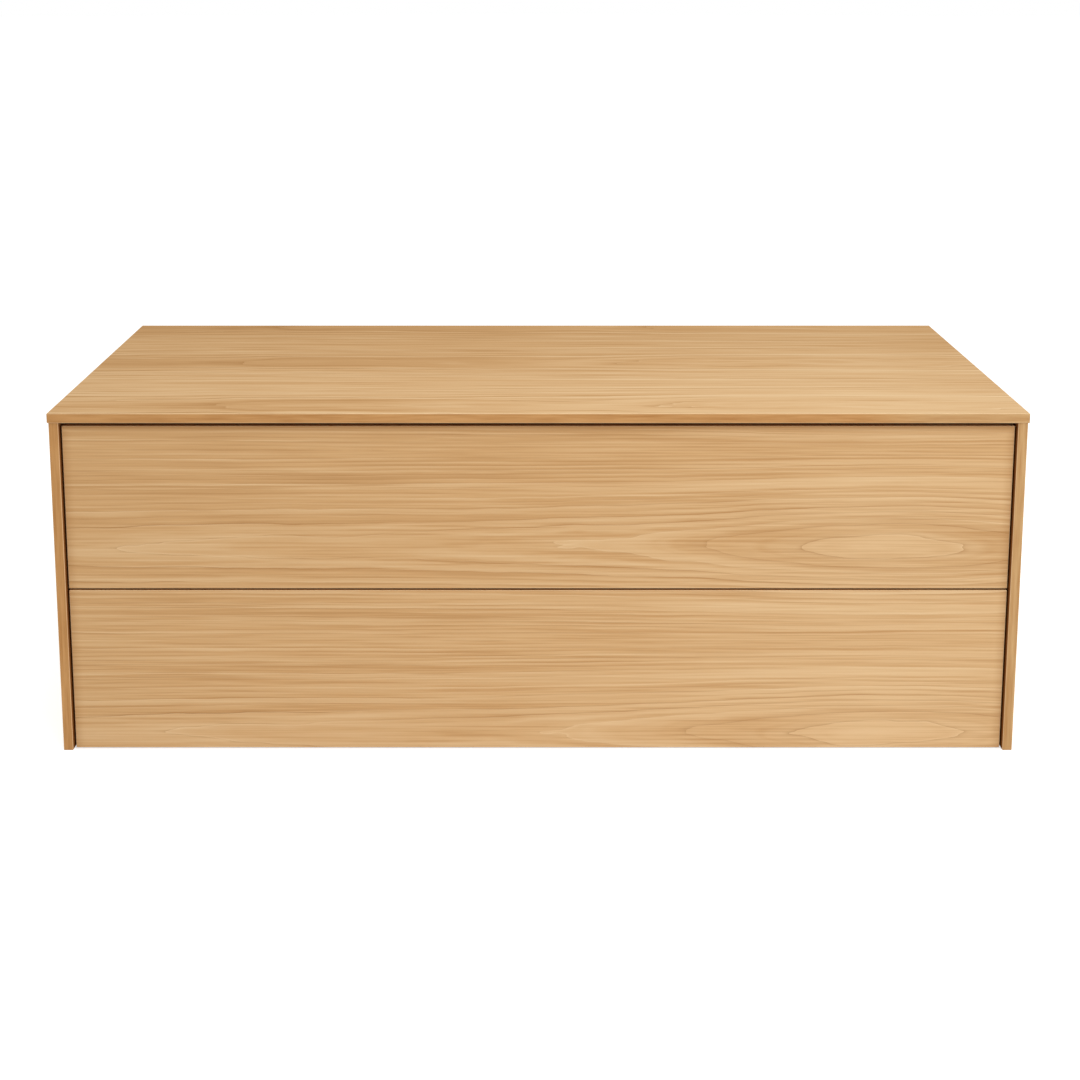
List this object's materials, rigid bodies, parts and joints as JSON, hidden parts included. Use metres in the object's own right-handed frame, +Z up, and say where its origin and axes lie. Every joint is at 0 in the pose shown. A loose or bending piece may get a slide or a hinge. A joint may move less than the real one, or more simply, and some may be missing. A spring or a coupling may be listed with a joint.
{
  "type": "two-drawer chest",
  "caption": "Low, wide, handleless wooden chest with stacked full-width drawers on ball-bearing runners, pressed to open by latches behind the boxes.",
  "frame": {"origin": "on the floor under the middle of the chest", "axes": "+X along the width, +Y to the back, +Z up; the drawer fronts face -Y"},
  "size_m": [1.2, 0.55, 0.4375],
  "materials": {
    "veneer": "pale honey-coloured crown-cut veneer under a satin lacquer",
    "carcass_board": "plain veneered board, satin",
    "box_wood": "pale birch board, satin lacquer",
    "dowel_wood": "plain beech",
    "runner_steel": "bright zinc-plated folded steel",
    "cage_steel": "plain thin steel strip",
    "ball_steel": "polished balls",
    "screw_steel": "zinc-plated screws and bolts",
    "cam_zinc": "die-cast zinc",
    "latch_plastic": "grey moulded plastic",
    "spring_steel": "drawn spring wire"
  },
  "bodies": {
    "carcass": {"top_panel": "veneer", "left_side_panel": "veneer", "right_side_panel": "veneer", "bottom_panel": "carcass_board", "back_panel": "carcass_board", "front_top_rail": "carcass_board", "rear_top_rail": "carcass_board", "cam_housings": "cam_zinc", "cam_bolts": "screw_steel", "wood_dowels": "dowel_wood", "top_screws": "screw_steel", "back_screws": "screw_steel", "cabinet_runner_screws": "screw_steel", "latch_screws": "screw_steel", "latch_housings": "latch_plastic", "upper_latch_springs": "spring_steel", "lower_latch_springs": "spring_steel", "upper_left_cabinet_runner": "runner_steel", "upper_right_cabinet_runner": "runner_steel", "lower_left_cabinet_runner": "runner_steel", "lower_right_cabinet_runner": "runner_steel"},
    "upper_latch": {"upper_latch_plungers": "latch_plastic"},
    "upper_drawer": {"upper_drawer_front": "veneer", "upper_box_front": "box_wood", "upper_box_left_side": "box_wood", "upper_box_right_side": "box_wood", "upper_box_back": "box_wood", "upper_box_bottom": "box_wood", "upper_bottom_batten": "box_wood", "upper_box_dowels": "dowel_wood", "upper_front_screws": "screw_steel", "upper_drawer_runner_screws": "screw_steel", "upper_left_drawer_runner": "runner_steel", "upper_right_drawer_runner": "runner_steel"},
    "upper_middle_runners": {"upper_left_middle_runner": "runner_steel", "upper_right_middle_runner": "runner_steel"},
    "upper_outer_ball_cages": {"upper_outer_cages": "cage_steel", "upper_outer_balls": "ball_steel"},
    "upper_inner_ball_cages": {"upper_inner_cages": "cage_steel", "upper_inner_balls": "ball_steel"},
    "lower_latch": {"lower_latch_plungers": "latch_plastic"},
    "lower_drawer": {"lower_drawer_front": "veneer", "lower_box_front": "box_wood", "lower_box_left_side": "box_wood", "lower_box_right_side": "box_wood", "lower_box_back": "box_wood", "lower_box_bottom": "box_wood", "lower_bottom_batten": "box_wood", "lower_box_dowels": "dowel_wood", "lower_front_screws": "screw_steel", "lower_drawer_runner_screws": "screw_steel", "lower_left_drawer_runner": "runner_steel", "lower_right_drawer_runner": "runner_steel"},
    "lower_middle_runners": {"lower_left_middle_runner": "runner_steel", "lower_right_middle_runner": "runner_steel"},
    "lower_outer_ball_cages": {"lower_outer_cages": "cage_steel", "lower_outer_balls": "ball_steel"},
    "lower_inner_ball_cages": {"lower_inner_cages": "cage_steel", "lower_inner_balls": "ball_steel"}
  },
  "joints": [
    {"name": "upper_latch_press", "type": "slide", "parent": "carcass", "child": "upper_latch", "axis": [0, -1, 0], "range_m": [-0.003, 0.025], "deforming": ["upper_latch_springs"]},
    {"name": "upper_drawer_slide", "type": "slide", "parent": "upper_latch", "child": "upper_drawer", "axis": [0, -1, 0], "range_m": [0, 0.425]},
    {"name": "upper_middle_slide", "type": "slide", "parent": "carcass", "child": "upper_middle_runners", "axis": [0, -1, 0], "range_m": [0, 0.2125]},
    {"name": "upper_outer_cage_slide", "type": "slide", "parent": "carcass", "child": "upper_outer_ball_cages", "axis": [0, -1, 0], "range_m": [0, 0.10625]},
    {"name": "upper_inner_cage_slide", "type": "slide", "parent": "carcass", "child": "upper_inner_ball_cages", "axis": [0, -1, 0], "range_m": [0, 0.31875]},
    {"name": "lower_latch_press", "type": "slide", "parent": "carcass", "child": "lower_latch", "axis": [0, -1, 0], "range_m": [-0.003, 0.025], "deforming": ["lower_latch_springs"]},
    {"name": "lower_drawer_slide", "type": "slide", "parent": "lower_latch", "child": "lower_drawer", "axis": [0, -1, 0], "range_m": [0, 0.425]},
    {"name": "lower_middle_slide", "type": "slide", "parent": "carcass", "child": "lower_middle_runners", "axis": [0, -1, 0], "range_m": [0, 0.2125]},
    {"name": "lower_outer_cage_slide", "type": "slide", "parent": "carcass", "child": "lower_outer_ball_cages", "axis": [0, -1, 0], "range_m": [0, 0.10625]},
    {"name": "lower_inner_cage_slide", "type": "slide", "parent": "carcass", "child": "lower_inner_ball_cages", "axis": [0, -1, 0], "range_m": [0, 0.31875]}
  ],
  "couplings": [
    {"joint": "upper_middle_slide", "follows": "upper_drawer_slide", "ratio": 0.5},
    {"joint": "upper_outer_cage_slide", "follows": "upper_drawer_slide", "ratio": 0.25},
    {"joint": "upper_inner_cage_slide", "follows": "upper_drawer_slide", "ratio": 0.75},
    {"joint": "lower_middle_slide", "follows": "lower_drawer_slide", "ratio": 0.5},
    {"joint": "lower_outer_cage_slide", "follows": "lower_drawer_slide", "ratio": 0.25},
    {"joint": "lower_inner_cage_slide", "follows": "lower_drawer_slide", "ratio": 0.75}
  ]
}
